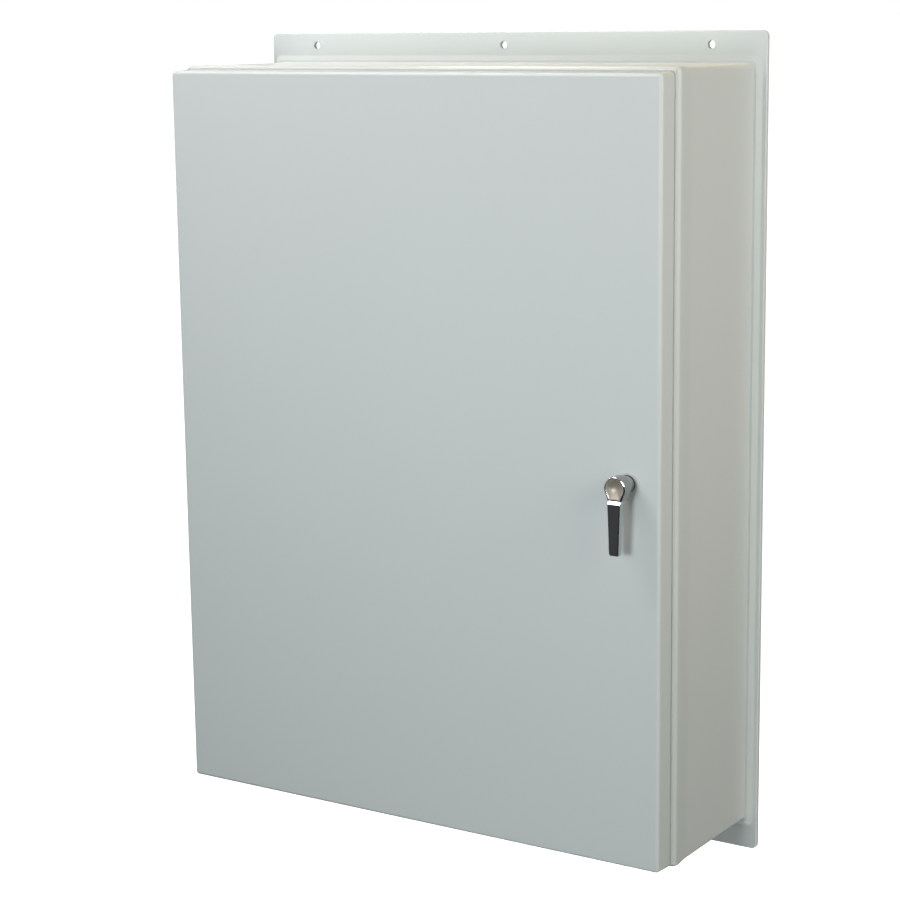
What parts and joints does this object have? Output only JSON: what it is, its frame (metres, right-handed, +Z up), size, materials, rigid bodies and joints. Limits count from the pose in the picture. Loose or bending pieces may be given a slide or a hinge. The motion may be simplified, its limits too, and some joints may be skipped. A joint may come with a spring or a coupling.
{
  "type": "wall-mounted electrical enclosure with subpanel",
  "caption": "Light grey fibreglass wall enclosure with a hinged overlapping cover, chrome lever handle, rod latch, mounting flanges top and bottom, and a steel subpanel inside.",
  "frame": {"origin": "centre of the flat back face that lies on the wall", "axes": "+Y into the wall, -Y out of the cover's face, +X to the right as seen from the front, +Z up; the hinge is on the left"},
  "size_m": [0.954, 0.3605, 1.3312],
  "materials": {
    "fibreglass": "satin moulded gelcoat",
    "panel_white": "white powder coat",
    "stainless": "mill finish",
    "chrome": "polished",
    "zinc": "zinc plated",
    "brass": "turned",
    "foam": "closed-cell foam",
    "nylon": "moulded",
    "rubber": "moulded"
  },
  "bodies": {
    "enclosure": {"body_shell": "fibreglass", "subpanel": "panel_white", "hinge_leaf_body": "stainless", "hinge_pin": "stainless", "strike_upper": "stainless", "strike_lower": "stainless", "strike_side": "stainless", "panel_insert_1": "brass", "panel_insert_2": "brass", "panel_insert_3": "brass", "panel_insert_4": "brass", "panel_insert_5": "brass", "panel_insert_6": "brass", "panel_screw_1": "stainless", "panel_screw_2": "stainless", "panel_screw_3": "stainless", "panel_screw_4": "stainless", "panel_screw_5": "stainless", "panel_screw_6": "stainless", "strike_rivet_1": "stainless", "strike_rivet_2": "stainless", "strike_rivet_3": "stainless", "strike_rivet_4": "stainless", "strike_rivet_5": "stainless", "strike_rivet_6": "stainless", "hinge_screw_body_1": "stainless", "hinge_screw_body_2": "stainless", "hinge_screw_body_3": "stainless", "hinge_screw_body_4": "stainless"},
    "cover": {"cover_shell": "fibreglass", "cover_gasket": "foam", "hinge_leaf_cover": "stainless", "handle_bushing": "chrome", "handle_seal": "rubber", "handle_nut": "zinc", "rod_guide_upper": "stainless", "rod_guide_lower": "stainless", "hinge_screw_cover_1": "stainless", "hinge_screw_cover_2": "stainless", "hinge_screw_cover_3": "stainless", "hinge_screw_cover_4": "stainless", "guide_screw_1": "stainless", "guide_screw_2": "stainless", "guide_screw_3": "stainless", "guide_screw_4": "stainless"},
    "handle": {"handle_lever": "chrome", "latch_shaft": "stainless", "latch_cam": "stainless", "cam_nut": "zinc", "rod_pin_upper": "stainless", "rod_pin_lower": "stainless"},
    "upper_rod": {"rod_upper": "stainless", "roller_axle_upper": "stainless"},
    "lower_rod": {"rod_lower": "stainless", "roller_axle_lower": "stainless"},
    "upper_roller": {"roller_upper": "nylon"},
    "lower_roller": {"roller_lower": "nylon"}
  },
  "joints": [
    {"name": "cover_hinge", "type": "hinge", "parent": "enclosure", "child": "cover", "pos_m": [-0.4655, -0.27625, 0], "axis": [0, 0, -1], "range_deg": [0, 180]},
    {"name": "handle_turn", "type": "hinge", "parent": "cover", "child": "handle", "pos_m": [0.401, -0.3365, 0], "axis": [0, 1, 0], "range_deg": [0, 90]},
    {"name": "upper_rod_pivot", "type": "hinge", "parent": "handle", "child": "upper_rod", "pos_m": [0.379, -0.2627, 0], "axis": [0, 1, 0], "range_deg": [-92.69, 0]},
    {"name": "lower_rod_pivot", "type": "hinge", "parent": "handle", "child": "lower_rod", "pos_m": [0.423, -0.2627, 0], "axis": [0, 1, 0], "range_deg": [-92.69, 0]},
    {"name": "upper_roller_spin", "type": "hinge", "parent": "upper_rod", "child": "upper_roller", "pos_m": [0.401, -0.2577, 0.57618], "axis": [0.9993, 0, -0.0382], "continuous": true},
    {"name": "lower_roller_spin", "type": "hinge", "parent": "lower_rod", "child": "lower_roller", "pos_m": [0.401, -0.2577, -0.57618], "axis": [0.9993, 0, -0.0382], "continuous": true}
  ],
  "couplings": [
    {"joint": "upper_rod_pivot", "follows": "handle_turn", "ratio": -1.0243},
    {"joint": "lower_rod_pivot", "follows": "handle_turn", "ratio": -1.0243}
  ]
}
